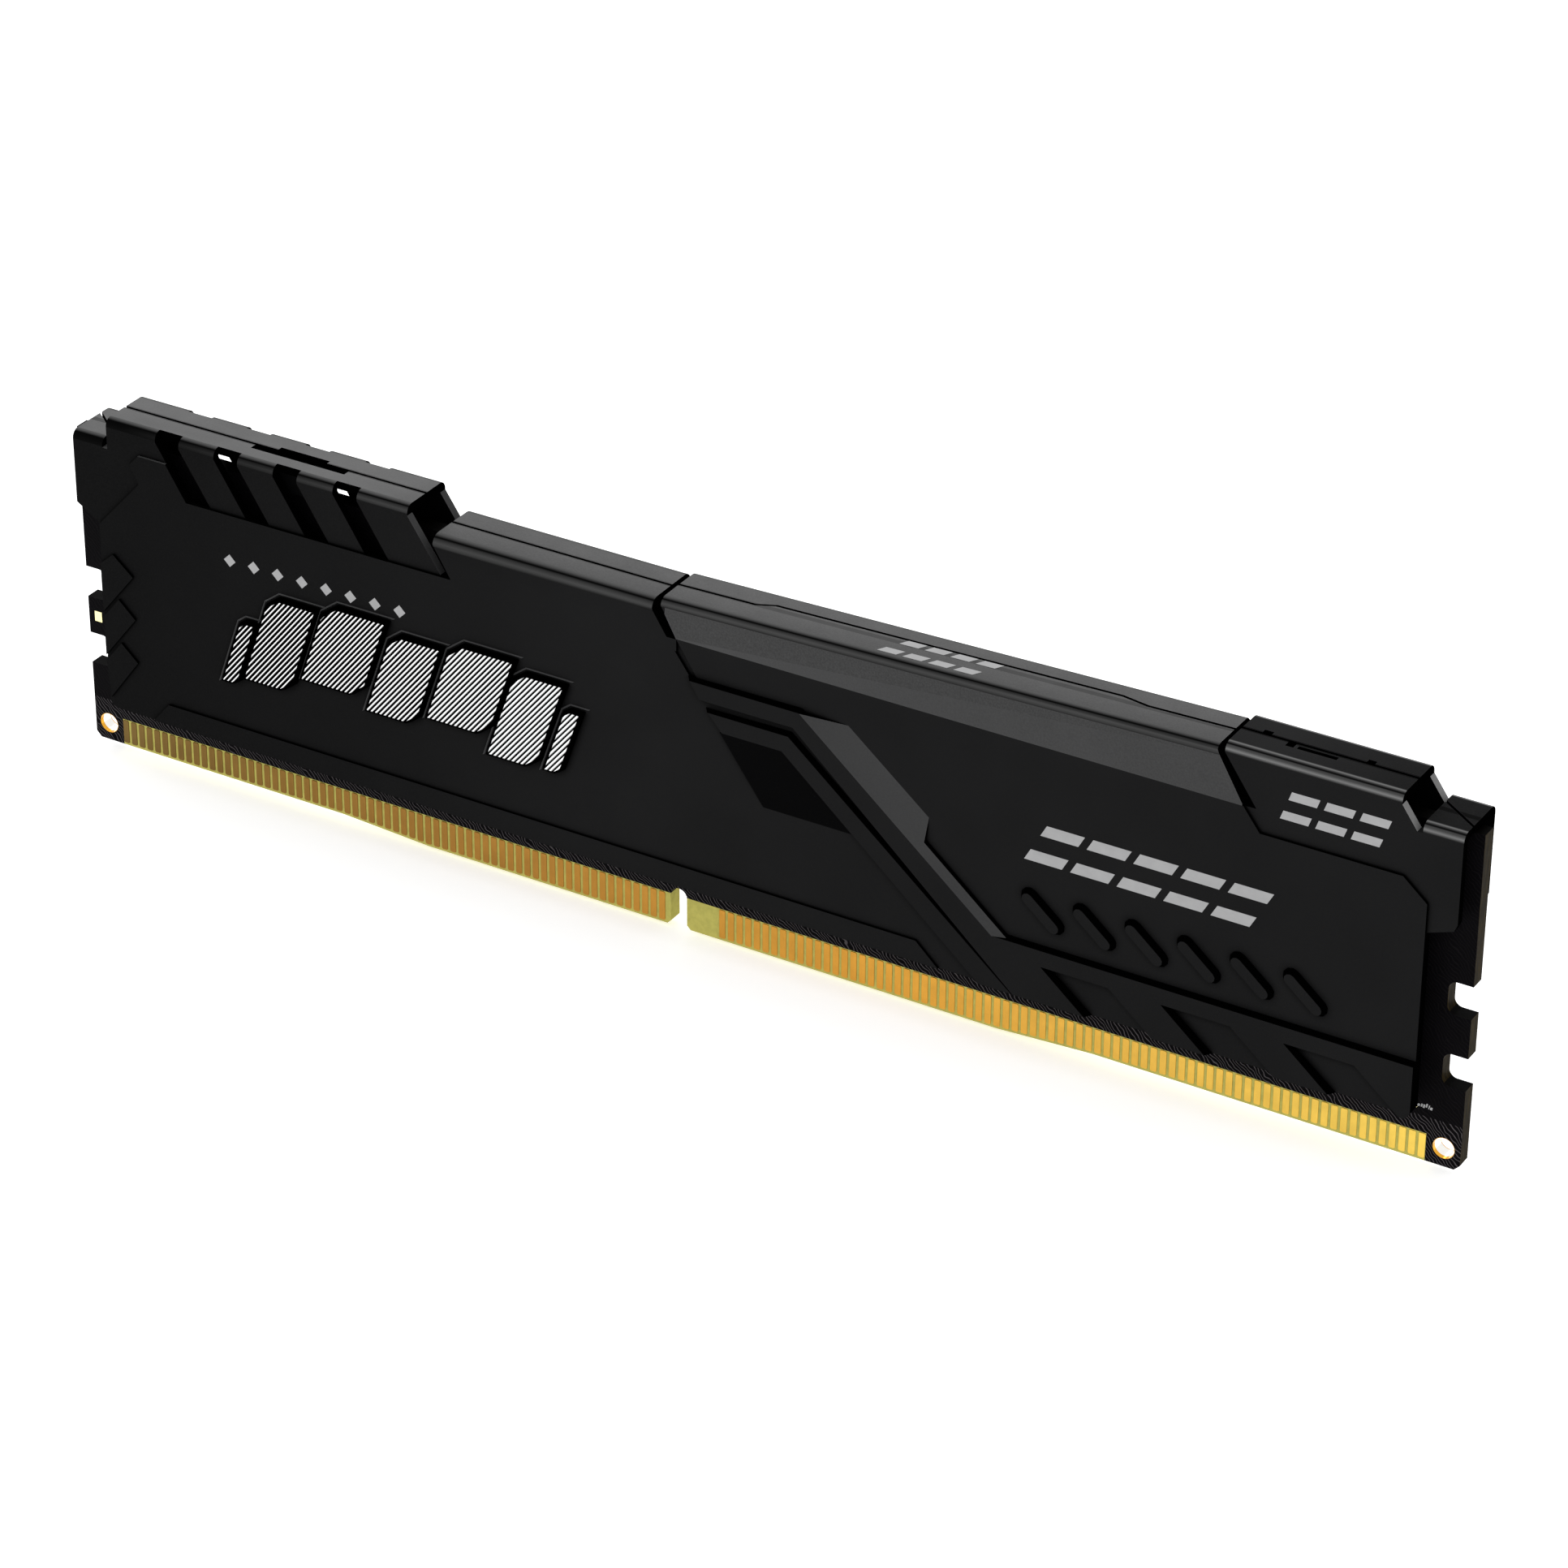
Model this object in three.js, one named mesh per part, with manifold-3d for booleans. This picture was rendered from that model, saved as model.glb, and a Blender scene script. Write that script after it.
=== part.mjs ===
// Memory module: a 288-contact card with chips on both faces, clamped between two folded
// aluminium heat spreader halves. Millimetres, +Z up, +X along the card, the marked face
// towards -Y. The origin is the middle of the footprint at the lowest point of the card edge.

import * as THREE from 'three';
import { mergeVertices } from 'three/addons/utils/BufferGeometryUtils.js';
import { ConvexGeometry } from 'three/addons/geometries/ConvexGeometry.js';
import Module from 'manifold-3d';

const wasm = await Module();
wasm.setup();

// Card
const CARD_LENGTH = 133.35;
const CARD_HEIGHT = 31.25;
const CARD_THICKNESS = 1.4;
const END_RISE = 0.5;
const END_CHAMFER = 0.5;
const RAMP_LEFT = [-40, -31];
const RAMP_RIGHT = [25, 34];
const KEY_X = -5.575;
const KEY_HALF = 0.8;
const KEY_SPRING_Z = 2.95;
const KEY_MOUTH = 0.35;
const NOTCH_Z = [[8.0, 11.0], [14.6, 17.6]];
const NOTCH_WALL_X = 64.6;
const NOTCH_RADIUS = 0.75;
const HOLE_X = 65.2;
const HOLE_Z = 2.2;
const HOLE_RADIUS = 0.95;

// The one board, divided where the key notch springs and a little inside each end notch, so
// that each piece is close to convex and the notches stay open in collision: [name, x, z]
const BEYOND_X = CARD_LENGTH;
const FULL_WIDTH = [-BEYOND_X, BEYOND_X];
const CUT_INSET = 0.25;
const [[LOW_NOTCH_Z0, LOW_NOTCH_Z1], [HIGH_NOTCH_Z0, HIGH_NOTCH_Z1]] =
  NOTCH_Z.map(([z0, z1]) => [z0 + CUT_INSET, z1 - CUT_INSET]);
const CARD_PIECES = [
  ['pcb_tongue_left', [-BEYOND_X, KEY_X], [-1, KEY_SPRING_Z]],
  ['pcb_tongue_right', [KEY_X, BEYOND_X], [-1, KEY_SPRING_Z]],
  ['pcb_lower', FULL_WIDTH, [KEY_SPRING_Z, LOW_NOTCH_Z0]],
  ['pcb_waist_lower', FULL_WIDTH, [LOW_NOTCH_Z0, LOW_NOTCH_Z1]],
  ['pcb_middle', FULL_WIDTH, [LOW_NOTCH_Z1, HIGH_NOTCH_Z0]],
  ['pcb_waist_upper', FULL_WIDTH, [HIGH_NOTCH_Z0, HIGH_NOTCH_Z1]],
  ['pcb_upper', FULL_WIDTH, [HIGH_NOTCH_Z1, CARD_HEIGHT + 1]],
];

// Edge contacts
const CONTACT_PITCH = 0.85;
const CONTACT_WIDTH = 0.6;
const CONTACT_THICKNESS = 0.05;
const CONTACT_LIFT = 0.02;
const CONTACT_TOP_Z = 3.0;
const CONTACT_BUS_Z = 3.25;
const CONTACT_EDGE = 0.22;
const CONTACT_BANKS = { left: [-63.325, 67], right: [-1.275, 77] };

// Chips and pads
const CHIP_WIDTH = 7.5;
const CHIP_HEIGHT = 11.0;
const CHIP_THICKNESS = 0.75;
const BALL_STANDOFF = 0.3;
const CHIP_Z = 17.6;
const CHIP_X = [-55, -40.5, -26, -11.5, 11.5, 26, 40.5, 55];
const PAD_LENGTH = 120;
const PAD_HEIGHT = 12;
const PAD_THICKNESS = 0.25;
const STACK_GAP = 0.05;

// Heat spreader sheet, all depths measured from the card's middle plane
const INNER_FACE = 2.1;
const PANEL_FACE = 2.85;
const MAIN_FACE = 3.05;
const STRIP_FACE = 3.23;
const BAND_FACE = 3.5;
const PILL_FACE = 3.57;
const EMBLEM_FACE = 3.6;
const SHEET = 0.75;
const SEAM_HALF_GAP = 0.14;
const RAISED_TOP_Z = 34.1;
const LOW_TOP_Z = 32.08;
const SLOPE_TOP_Z = 32.5;
const SLOPE_RISE = 0.0256;
const FOLD_STEPS = 6;
const DRAFT = 0.3;
const BASE_Z = 5.72;
const SLEEVE_Z = 28;
const RIGHT_END_X = 65.86;

// Openings and relief of the sheet
const SLOT_COUNT = 4;
const SLOT_LEFT_X = -56.6;
const SLOT_PITCH = 6.13;
const SLOT_WIDTH = 2.46;
const SLOT_RUN = 3.1;
const SLOT_Z = [28.4, 33.2];
const PILL_COUNT = 6;
const PILL_X = 30.24;
const PILL_Z = 14.16;
const PILL_PITCH = 4.67;
const PILL_HALF = 1.58;
const PILL_RADIUS = 0.5;
const PILL_ANGLE = -40.3;
const POCKET_COUNT = 3;
const POCKET_X = 30.4;
const POCKET_PITCH = 10.87;
const POCKET_FLOOR = PANEL_FACE;
const EMBLEM_LEAN = 0.35;

// ---------------------------------------------------------------- solids

function toSolid(geometry) {
  geometry.deleteAttribute('normal');
  geometry.deleteAttribute('uv');
  const merged = mergeVertices(geometry, 1e-5);
  const mesh = new wasm.Mesh({
    numProp: 3,
    vertProperties: new Float32Array(merged.attributes.position.array),
    triVerts: new Uint32Array(merged.index.array),
  });
  return new wasm.Manifold(mesh);
}

function toGeometry(solid) {
  const mesh = solid.getMesh();
  const geometry = new THREE.BufferGeometry();
  geometry.setAttribute('position', new THREE.BufferAttribute(mesh.vertProperties, 3));
  geometry.setIndex(new THREE.BufferAttribute(mesh.triVerts, 1));
  return geometry;
}

function outline(points) {
  return new THREE.Shape(points.map(([a, b]) => new THREE.Vector2(a, b)));
}

// A flat shape drawn in X and Z, filling the depths from yFront back to yBack.
function slabGeometry(shape, yFront, yBack, segments = 6) {
  const geometry = new THREE.ExtrudeGeometry(shape, {
    depth: yBack - yFront,
    bevelEnabled: false,
    curveSegments: segments,
  });
  geometry.rotateX(Math.PI / 2);
  geometry.translate(0, yBack, 0);
  return geometry;
}

function slab(points, yFront, yBack) {
  return toSolid(slabGeometry(outline(points), yFront, yBack));
}

// A raised pad: its flat top is the given outline at depth yTop, its sides lean outwards.
function raisedPad(points, yTop, height, lean) {
  const geometry = new THREE.ExtrudeGeometry(outline(points), {
    depth: 0.05,
    bevelEnabled: true,
    bevelThickness: height,
    bevelSize: lean,
    bevelSegments: 1,
  });
  geometry.rotateX(Math.PI / 2);
  geometry.translate(0, yTop + 0.05 + height, 0);
  return toSolid(geometry);
}

// A pocket cutter: its mouth is the given outline, its floor lies at depth yFloor.
function pocketCutter(points, yFloor, depth, lean) {
  const geometry = new THREE.ExtrudeGeometry(outline(points), {
    depth: 0.2,
    bevelEnabled: true,
    bevelThickness: depth,
    bevelSize: lean,
    bevelOffset: -lean,
    bevelSegments: 1,
  });
  geometry.rotateX(Math.PI / 2);
  geometry.translate(0, yFloor - depth, 0);
  return toSolid(geometry);
}

// A closed profile drawn in Y and Z, running along X.
function runAlongX(points, x0, x1) {
  const geometry = new THREE.ExtrudeGeometry(outline(points), {
    depth: x1 - x0,
    bevelEnabled: false,
  });
  const turn = new THREE.Matrix4().makeBasis(
    new THREE.Vector3(0, 1, 0),
    new THREE.Vector3(0, 0, 1),
    new THREE.Vector3(1, 0, 0),
  );
  geometry.applyMatrix4(turn);
  geometry.translate(x0, 0, 0);
  return geometry;
}

// A flat shape drawn in X and Y, standing from z0 up to z1.
function column(points, z0, z1) {
  const geometry = new THREE.ExtrudeGeometry(outline(points), {
    depth: z1 - z0,
    bevelEnabled: false,
  });
  geometry.translate(0, 0, z0);
  return toSolid(geometry);
}

function hull(points) {
  return toSolid(new ConvexGeometry(points.map(([x, y, z]) => new THREE.Vector3(x, y, z))));
}

function mirrorDepth(geometry) {
  geometry.scale(1, -1, 1);
  const index = geometry.index.array;
  for (let i = 0; i < index.length; i += 3) {
    const kept = index[i + 1];
    index[i + 1] = index[i + 2];
    index[i + 2] = kept;
  }
  return geometry;
}

// ---------------------------------------------------------------- card

function addNotch(shape, side, z0, z1) {
  const wall = side * NOTCH_WALL_X;
  const turn = side * (NOTCH_WALL_X + NOTCH_RADIUS);
  if (side > 0) {
    shape.lineTo(CARD_LENGTH / 2, z0);
    shape.lineTo(turn, z0);
    shape.absarc(turn, z0 + NOTCH_RADIUS, NOTCH_RADIUS, -Math.PI / 2, Math.PI, true);
    shape.lineTo(wall, z1 - NOTCH_RADIUS);
    shape.absarc(turn, z1 - NOTCH_RADIUS, NOTCH_RADIUS, Math.PI, Math.PI / 2, true);
    shape.lineTo(CARD_LENGTH / 2, z1);
  } else {
    shape.lineTo(-CARD_LENGTH / 2, z1);
    shape.lineTo(turn, z1);
    shape.absarc(turn, z1 - NOTCH_RADIUS, NOTCH_RADIUS, Math.PI / 2, 0, true);
    shape.lineTo(wall, z0 + NOTCH_RADIUS);
    shape.absarc(turn, z0 + NOTCH_RADIUS, NOTCH_RADIUS, 0, -Math.PI / 2, true);
    shape.lineTo(-CARD_LENGTH / 2, z0);
  }
}

function cardShape() {
  const end = CARD_LENGTH / 2;
  const shape = new THREE.Shape();
  shape.moveTo(-end, END_RISE + END_CHAMFER);
  shape.lineTo(-end + END_CHAMFER, END_RISE);
  shape.lineTo(RAMP_LEFT[0], END_RISE);
  shape.lineTo(RAMP_LEFT[1], 0);
  shape.lineTo(KEY_X - KEY_HALF - KEY_MOUTH, 0);
  shape.lineTo(KEY_X - KEY_HALF, KEY_MOUTH);
  shape.lineTo(KEY_X - KEY_HALF, KEY_SPRING_Z);
  shape.absarc(KEY_X, KEY_SPRING_Z, KEY_HALF, Math.PI, 0, true);
  shape.lineTo(KEY_X + KEY_HALF, KEY_MOUTH);
  shape.lineTo(KEY_X + KEY_HALF + KEY_MOUTH, 0);
  shape.lineTo(RAMP_RIGHT[0], 0);
  shape.lineTo(RAMP_RIGHT[1], END_RISE);
  shape.lineTo(end - END_CHAMFER, END_RISE);
  shape.lineTo(end, END_RISE + END_CHAMFER);
  NOTCH_Z.forEach(([z0, z1]) => addNotch(shape, 1, z0, z1));
  shape.lineTo(end, CARD_HEIGHT);
  shape.lineTo(-end, CARD_HEIGHT);
  [...NOTCH_Z].reverse().forEach(([z0, z1]) => addNotch(shape, -1, z0, z1));
  shape.closePath();
  for (const side of [-1, 1]) {
    const hole = new THREE.Path();
    hole.absarc(side * HOLE_X, HOLE_Z, HOLE_RADIUS, 0, 2 * Math.PI, true);
    shape.holes.push(hole);
  }
  return shape;
}

function cardSolid() {
  return toSolid(slabGeometry(cardShape(), -CARD_THICKNESS / 2, CARD_THICKNESS / 2, 10));
}

function cardPieceGeometry(board, [x0, x1], [z0, z1]) {
  const span = slab([[x0, z0], [x1, z0], [x1, z1], [x0, z1]], -CARD_THICKNESS, CARD_THICKNESS);
  return toGeometry(board.intersect(span));
}

function cardEdgeZ(x) {
  const [a, b] = RAMP_LEFT;
  const [c, d] = RAMP_RIGHT;
  if (x <= a || x >= d) {
    return END_RISE;
  }
  if (x < b) {
    return (END_RISE * (b - x)) / (b - a);
  }
  if (x > c) {
    return (END_RISE * (x - c)) / (d - c);
  }
  return 0;
}

// One bank of contacts, joined along its top by the plating strip under the mask edge.
function contactBankGeometry(bank, side) {
  const [first, count] = CONTACT_BANKS[bank];
  const half = CONTACT_WIDTH / 2;
  const points = [];
  for (let i = 0; i < count; i += 1) {
    const x = first + i * CONTACT_PITCH;
    const foot = cardEdgeZ(x) + CONTACT_EDGE;
    points.push([x - half, CONTACT_TOP_Z], [x - half, foot], [x + half, foot]);
    points.push([x + half, CONTACT_TOP_Z]);
  }
  points[0][1] = CONTACT_BUS_Z;
  points[points.length - 1][1] = CONTACT_BUS_Z;
  const inner = CARD_THICKNESS / 2 + CONTACT_LIFT;
  const outer = inner + CONTACT_THICKNESS;
  const front = side < 0 ? -outer : inner;
  return slabGeometry(outline(points), front, front + CONTACT_THICKNESS);
}

// ---------------------------------------------------------------- chips and pads

function boxGeometry(width, depth, height) {
  return new THREE.BoxGeometry(width, depth, height);
}

function chipDepth() {
  return CARD_THICKNESS / 2 + BALL_STANDOFF + CHIP_THICKNESS / 2;
}

function padDepth() {
  const chipTop = CARD_THICKNESS / 2 + BALL_STANDOFF + CHIP_THICKNESS;
  return chipTop + STACK_GAP + PAD_THICKNESS / 2;
}

// ---------------------------------------------------------------- heat spreader

// Fold profile: the upright leg, the rounded outer corner and the top flange.
function foldProfile(face, top) {
  const radius = face - INNER_FACE;
  const points = [[-INNER_FACE, 26], [-INNER_FACE, top - SHEET], [2, top - SHEET], [2, top]];
  for (let i = 0; i <= FOLD_STEPS; i += 1) {
    const a = (Math.PI / 2) * (1 + i / FOLD_STEPS);
    const y = -face + radius + radius * Math.cos(a);
    points.push([y, top - radius + radius * Math.sin(a)]);
  }
  points.push([-face, 26]);
  return points.reverse();
}

function foldSection(sleeve, face, top, rise) {
  const xs = sleeve.map(([x]) => x);
  const x0 = Math.min(...xs) - 1;
  const x1 = Math.max(...xs) + 1;
  const geometry = runAlongX(foldProfile(face, top), x0, x1);
  const shear = new THREE.Matrix4();
  shear.elements[2] = rise;
  geometry.applyMatrix4(shear);
  return toSolid(geometry).intersect(slab(sleeve, -5, 5));
}

// Side outlines of the six stretches of the folded top, seen from the marked face.
function sleeves() {
  return {
    leftEnd: [[-65.47, SLEEVE_Z], [-62.35, SLEEVE_Z], [-62.35, 36], [-65.47, 36]],
    leftRaised: [[-62.6, SLEEVE_Z], [-27.48, SLEEVE_Z], [-27.48, 28.5], [-30.65, 33.2],
      [-30.65, 36], [-61.8, 36], [-61.8, 31.25], [-62.6, 31.25]],
    leftLow: [[-26.31, SLEEVE_Z], [-4.2, SLEEVE_Z], [-4.2, 29.1], [-5.14, 29.1],
      [-6.55, 31.3], [-6.55, 36], [-28.05, 36], [-28.05, 31.3], [-26.31, 28.5]],
    rightSlope: [[-4.23, SLEEVE_Z], [48.2, SLEEVE_Z], [47.38, 29.15], [44.82, 33.3],
      [44.82, 36], [-5.8, 36], [-5.8, 31.7], [-4.23, 29.14]],
    rightRaised: [[47.0, SLEEVE_Z], [62.6, SLEEVE_Z], [62.6, 31.25], [61.97, 31.25],
      [60.6, 33.2], [60.6, 36], [45.52, 36], [45.52, 33.3], [48.42, 29.1], [47.0, 29.1]],
    rightEnd: [[62.45, SLEEVE_Z], [RIGHT_END_X, SLEEVE_Z], [RIGHT_END_X, 36], [62.45, 36]],
  };
}

function foldedTop() {
  const s = sleeves();
  return foldSection(s.leftEnd, PANEL_FACE, LOW_TOP_Z, 0)
    .add(foldSection(s.leftRaised, PANEL_FACE, RAISED_TOP_Z, 0))
    .add(foldSection(s.leftLow, MAIN_FACE, LOW_TOP_Z, 0))
    .add(foldSection(s.rightSlope, PANEL_FACE, SLOPE_TOP_Z, SLOPE_RISE))
    .add(foldSection(s.rightRaised, PANEL_FACE, RAISED_TOP_Z, 0))
    .add(foldSection(s.rightEnd, PANEL_FACE, LOW_TOP_Z, 0));
}

// The whole face below the folds, at the depth of the end panels.
function backingOutline() {
  return [[-62.42, BASE_Z], [62.85, BASE_Z], [63.31, 6.33], [63.31, 22.62], [RIGHT_END_X - 0.27, 23.43],
    [RIGHT_END_X, 24.07], [RIGHT_END_X, 28.5], [-65.47, 28.5], [-65.47, 25.21], [-64.85, 24.82],
    [-63.03, 23.7], [-63.03, 6.5], [-62.86, 5.98]];
}

// The main face, a shallow step proud of the end panels.
function mainOutline() {
  return [[-62.42, BASE_Z], [62.85, BASE_Z], [63.31, 6.33], [63.31, 25.27], [61.15, 27.13],
    [48.92, 27.13], [47.4, 29.14], [-4.23, 29.14], [-2.2, 26.0], [-2.9, 26.0],
    [-5.14, 29.1], [-6.5, 31.1], [-27.9, 31.1], [-26.31, 28.45], [-53.5, 28.33],
    [-55.5, 31.49], [-58.43, 31.49], [-59.39, 30.42], [-58.5, 28.76], [-63.03, 23.77],
    [-63.03, 6.5], [-62.86, 5.98]];
}

// The lean-back of the sloping stretch, from the main face to the foot of its fold.
function leanBack() {
  const ends = [-5.4, 47.3].map((x) => {
    const foot = SLOPE_TOP_Z + SLOPE_RISE * x - SHEET;
    return [[x, -2.6, 29.0], [x, -MAIN_FACE, 29.14], [x, -PANEL_FACE, foot], [x, -2.6, foot]];
  });
  const cut = slab(sleeves().rightSlope, -5, 5);
  return hull(ends.flat()).intersect(cut);
}

function bottomStrip() {
  const points = [[-58.2, BASE_Z], [20.85, BASE_Z], [18.7, 7.75], [-56.5, 7.75]];
  return slab(points, -STRIP_FACE, -INNER_FACE - 0.1);
}

// Three overlapping scales on the left edge.
function edgeScales() {
  const scales = [
    [[-63.03, 15.25], [-59.59, 19.48], [-61.64, 21.21], [-63.03, 20.0]],
    [[-63.03, 10.95], [-59.59, 15.29], [-61.3, 16.87], [-63.03, 14.75]],
    [[-62.78, 6.75], [-59.59, 11.01], [-61.3, 12.55], [-63.03, 10.4]],
  ];
  return scales.map((points) => slab(points, -STRIP_FACE, -INNER_FACE - 0.1));
}

// The bent band that crosses the face and widens into the lower right strip.
function outerBand() {
  const points = [[-1.79, 24.39], [7.1, 24.39], [29.04, BASE_Z - 1], [63.8, BASE_Z - 1],
    [63.8, 10.66], [27.33, 10.66], [25.86, 10.63], [7.67, 25.9], [-2.7, 25.9]];
  return raisedPad(points, -BAND_FACE, BAND_FACE - MAIN_FACE, DRAFT);
}

function innerBand() {
  const points = [[-0.99, 23.43], [0.39, 21.89], [6.08, 21.89], [25.9, BASE_Z - 1],
    [29.0, BASE_Z - 1], [6.69, 23.43]];
  return raisedPad(points, -BAND_FACE, BAND_FACE - MAIN_FACE, DRAFT);
}

// Bevels running down from the outer band, a wide one above and a narrow one below.
function bandBevels() {
  const root = -2.7;
  const narrow = -3.34;
  const wide = hull([
    [7.67, -BAND_FACE, 25.87], [18.4, -BAND_FACE, 16.88], [12.07, -MAIN_FACE, 25.84],
    [19.65, -MAIN_FACE, 19.58], [19.39, narrow, 17.33],
    [7.67, root, 25.87], [18.4, root, 16.88], [12.07, root, 25.84], [19.65, root, 19.58],
    [19.39, root, 17.33],
  ]);
  const lower = hull([
    [18.3, -BAND_FACE, 16.96], [25.86, -BAND_FACE, 10.63], [19.39, narrow, 17.33],
    [27.24, narrow, 10.67], [18.3, root, 16.96], [25.86, root, 10.63],
    [19.62, root, 17.53], [27.5, root, 10.8],
  ]);
  return [wide, lower];
}

// The shaded facet that falls from the inner band to the main face.
function shadedFacet() {
  const root = -2.7;
  return hull([
    [0.2, -BAND_FACE, 21.9], [6.1, -BAND_FACE, 21.9], [4.1, -MAIN_FACE, 15.8],
    [13.0, -MAIN_FACE, 15.8], [0.2, root, 21.9], [6.1, root, 21.9],
    [4.1, root, 15.8], [13.0, root, 15.8],
  ]);
}

function pillOutline(cx, cz, steps = 5) {
  const a = THREE.MathUtils.degToRad(PILL_ANGLE);
  const points = [];
  for (const end of [1, -1]) {
    for (let i = 0; i <= steps; i += 1) {
      const t = a - Math.PI / 2 + (Math.PI * i) / steps + (end < 0 ? Math.PI : 0);
      const x = cx + end * PILL_HALF * Math.cos(a) + PILL_RADIUS * Math.cos(t);
      const z = cz + end * PILL_HALF * Math.sin(a) + PILL_RADIUS * Math.sin(t);
      points.push([x, z]);
    }
  }
  return points;
}

function pills() {
  const solids = [];
  for (let i = 0; i < PILL_COUNT; i += 1) {
    const points = pillOutline(PILL_X + i * PILL_PITCH, PILL_Z);
    solids.push(raisedPad(points, -PILL_FACE, PILL_FACE - MAIN_FACE, DRAFT));
  }
  return solids;
}

// A leaning block with two opposite corners clipped off.
function leaningBlock(x, width, z0, z1, clip) {
  const lean = EMBLEM_LEAN * (z1 - z0);
  return [[x, z0], [x + width - clip, z0], [x + width + EMBLEM_LEAN * clip, z0 + clip],
    [x + width + lean, z1], [x + clip + lean, z1], [x + lean - EMBLEM_LEAN * clip, z1 - clip]];
}

// Abstract emblem: a row of leaning raised blocks between two thin fins.
function emblemBlocks() {
  const blocks = [
    leaningBlock(-50.3, 1.7, 12.2, 18.6, 0.5),
    leaningBlock(-48.0, 5.0, 13.0, 21.8, 1.0),
    leaningBlock(-41.9, 6.4, 14.7, 22.7, 1.2),
    leaningBlock(-35.2, 5.2, 13.6, 21.8, 1.0),
    leaningBlock(-29.0, 6.4, 14.7, 22.7, 1.2),
    leaningBlock(-22.9, 5.0, 13.0, 21.8, 1.0),
    leaningBlock(-17.2, 1.7, 13.2, 19.6, 0.5),
  ];
  const rise = EMBLEM_FACE - MAIN_FACE;
  return blocks.map((points) => raisedPad(points, -EMBLEM_FACE, rise, 0.15));
}

// Slots that run from the fold down the raised left stretch.
function slotCutters() {
  const cutters = [];
  const [z0, z1] = SLOT_Z;
  for (let i = 0; i < SLOT_COUNT; i += 1) {
    const x = SLOT_LEFT_X + i * SLOT_PITCH;
    const points = [[x, z1], [x + SLOT_RUN, z0], [x + SLOT_RUN + SLOT_WIDTH, z0],
      [x + SLOT_WIDTH, z1], [x + SLOT_WIDTH, 36], [x, 36]];
    cutters.push(slab(points, -5, -INNER_FACE + 0.05));
  }
  return cutters;
}

// Leaning pockets in the lower right strip, open at the bottom edge.
function pocketCutters() {
  const cutters = [];
  for (let i = 0; i < POCKET_COUNT; i += 1) {
    const x = POCKET_X + i * POCKET_PITCH;
    const points = [[x + 4.9, 5.0], [x + 11.05, 5.0], [x + 6.15, 9.16], [x, 9.16]];
    cutters.push(pocketCutter(points, -POCKET_FLOOR, BAND_FACE - POCKET_FLOOR, DRAFT));
  }
  return cutters;
}

// Line of the seam between the two flanges: x and depth, jogging along the sloping stretch.
function seamLine(jog) {
  return [[-70, 4.84 * jog], [-62.1, -1.46 * jog], [-62.0, 0], [1.5, 0], [3.1, 0.65 * jog],
    [34.7, 0.75 * jog], [37.2, 0.23 * jog], [44.9, 0.23 * jog], [45.1, 0], [61.5, 0],
    [61.6, 1.75 * jog], [70, -4.17 * jog]];
}

function seamCutter(jog) {
  const line = seamLine(jog).map(([x, y]) => [x, y - SEAM_HALF_GAP]);
  const points = [...line, [70, 6], [-70, 6]];
  return column(points, 29, 37);
}

// Interlock openings in the flanges, along the seam of the two raised stretches.
function interlockCutters(isFront) {
  const wide = isFront ? [-48.0, -38.4] : [-45.8, -40.8];
  const depth = isFront ? 0.8 : 0.6;
  const boxes = [[wide[0], wide[1], -depth, 0.2]];
  if (isFront) {
    boxes.push([49.6, 50.3, -0.8, 0.2], [50.6, 54.0, -0.8, -0.35]);
  } else {
    boxes.push([47.2, 48.0, -0.6, 0.2], [56.1, 56.8, -0.6, 0.2]);
  }
  return boxes.map(([x0, x1, y0, y1]) =>
    column([[x0, y0], [x1, y0], [x1, y1], [x0, y1]], 32.5, 37));
}

function reliefSolids() {
  const all = [bottomStrip(), ...edgeScales(), outerBand(), innerBand(), ...bandBevels(),
    shadedFacet(), ...pills(), ...emblemBlocks()];
  const relief = wasm.Manifold.union(all);
  const keep = slab(mainOutline(), -5, -INNER_FACE - 0.05);
  return wasm.Manifold.union([relief.intersect(keep), leanBack()]);
}

function spreaderSolid(isFront) {
  const jog = isFront ? 1 : -1;
  const body = slab(backingOutline(), -PANEL_FACE, -INNER_FACE)
    .add(slab(mainOutline(), -MAIN_FACE, -INNER_FACE - 0.05))
    .add(foldedTop())
    .add(reliefSolids());
  const cutters = [seamCutter(jog), ...slotCutters(), ...pocketCutters(),
    ...interlockCutters(isFront)];
  return body.subtract(wasm.Manifold.union(cutters));
}

function spreaderGeometry(isFront) {
  const geometry = toGeometry(spreaderSolid(isFront));
  return isFront ? geometry : mirrorDepth(geometry);
}

// Spring bridge inside a raised stretch, which hooks the two halves together.
function bridgeGeometry(length) {
  const shape = outline([[-1.7, 31.45], [-1.35, 31.45], [-1.35, 32.75], [1.35, 32.75],
    [1.35, 31.45], [1.7, 31.45], [1.7, 33.1], [-1.7, 33.1]]);
  const geometry = new THREE.ExtrudeGeometry(shape, { depth: length, bevelEnabled: false });
  const turn = new THREE.Matrix4().makeBasis(
    new THREE.Vector3(0, 1, 0),
    new THREE.Vector3(0, 0, 1),
    new THREE.Vector3(1, 0, 0),
  );
  geometry.applyMatrix4(turn);
  geometry.translate(-length / 2, 0, 0);
  return geometry;
}

// ---------------------------------------------------------------- scene graph

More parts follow.
